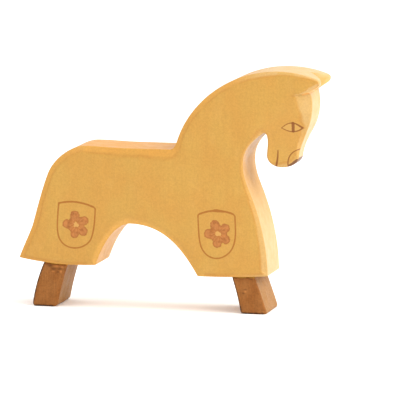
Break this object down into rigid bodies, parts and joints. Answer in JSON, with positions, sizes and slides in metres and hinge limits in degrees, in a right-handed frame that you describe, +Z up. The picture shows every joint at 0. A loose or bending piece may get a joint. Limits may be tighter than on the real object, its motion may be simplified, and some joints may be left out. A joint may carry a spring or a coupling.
{
  "type": "wooden toy horse",
  "caption": "Flat-cut wooden toy horse in a knight's cloth: an ochre board with shield drawings on brown-stained legs.",
  "frame": {"origin": "on the ground the horse stands on, at the middle of its length and of its thickness", "axes": "+X towards the head, +Y through the thickness towards the horse's left side, +Z up"},
  "size_m": [0.1531, 0.03, 0.1211],
  "materials": {
    "ochre_wood": "yellow-ochre glaze over pale close-grained wood, oiled satin",
    "brown_wood": "brown stain, oiled satin",
    "dowel_wood": "plain unfinished beech"
  },
  "bodies": {
    "root": {"horse_body": "ochre_wood", "hind_leg": "brown_wood", "fore_leg": "brown_wood", "hind_dowel_left": "dowel_wood", "hind_dowel_right": "dowel_wood", "fore_dowel_left": "dowel_wood", "fore_dowel_right": "dowel_wood"}
  },
  "joints": []
}
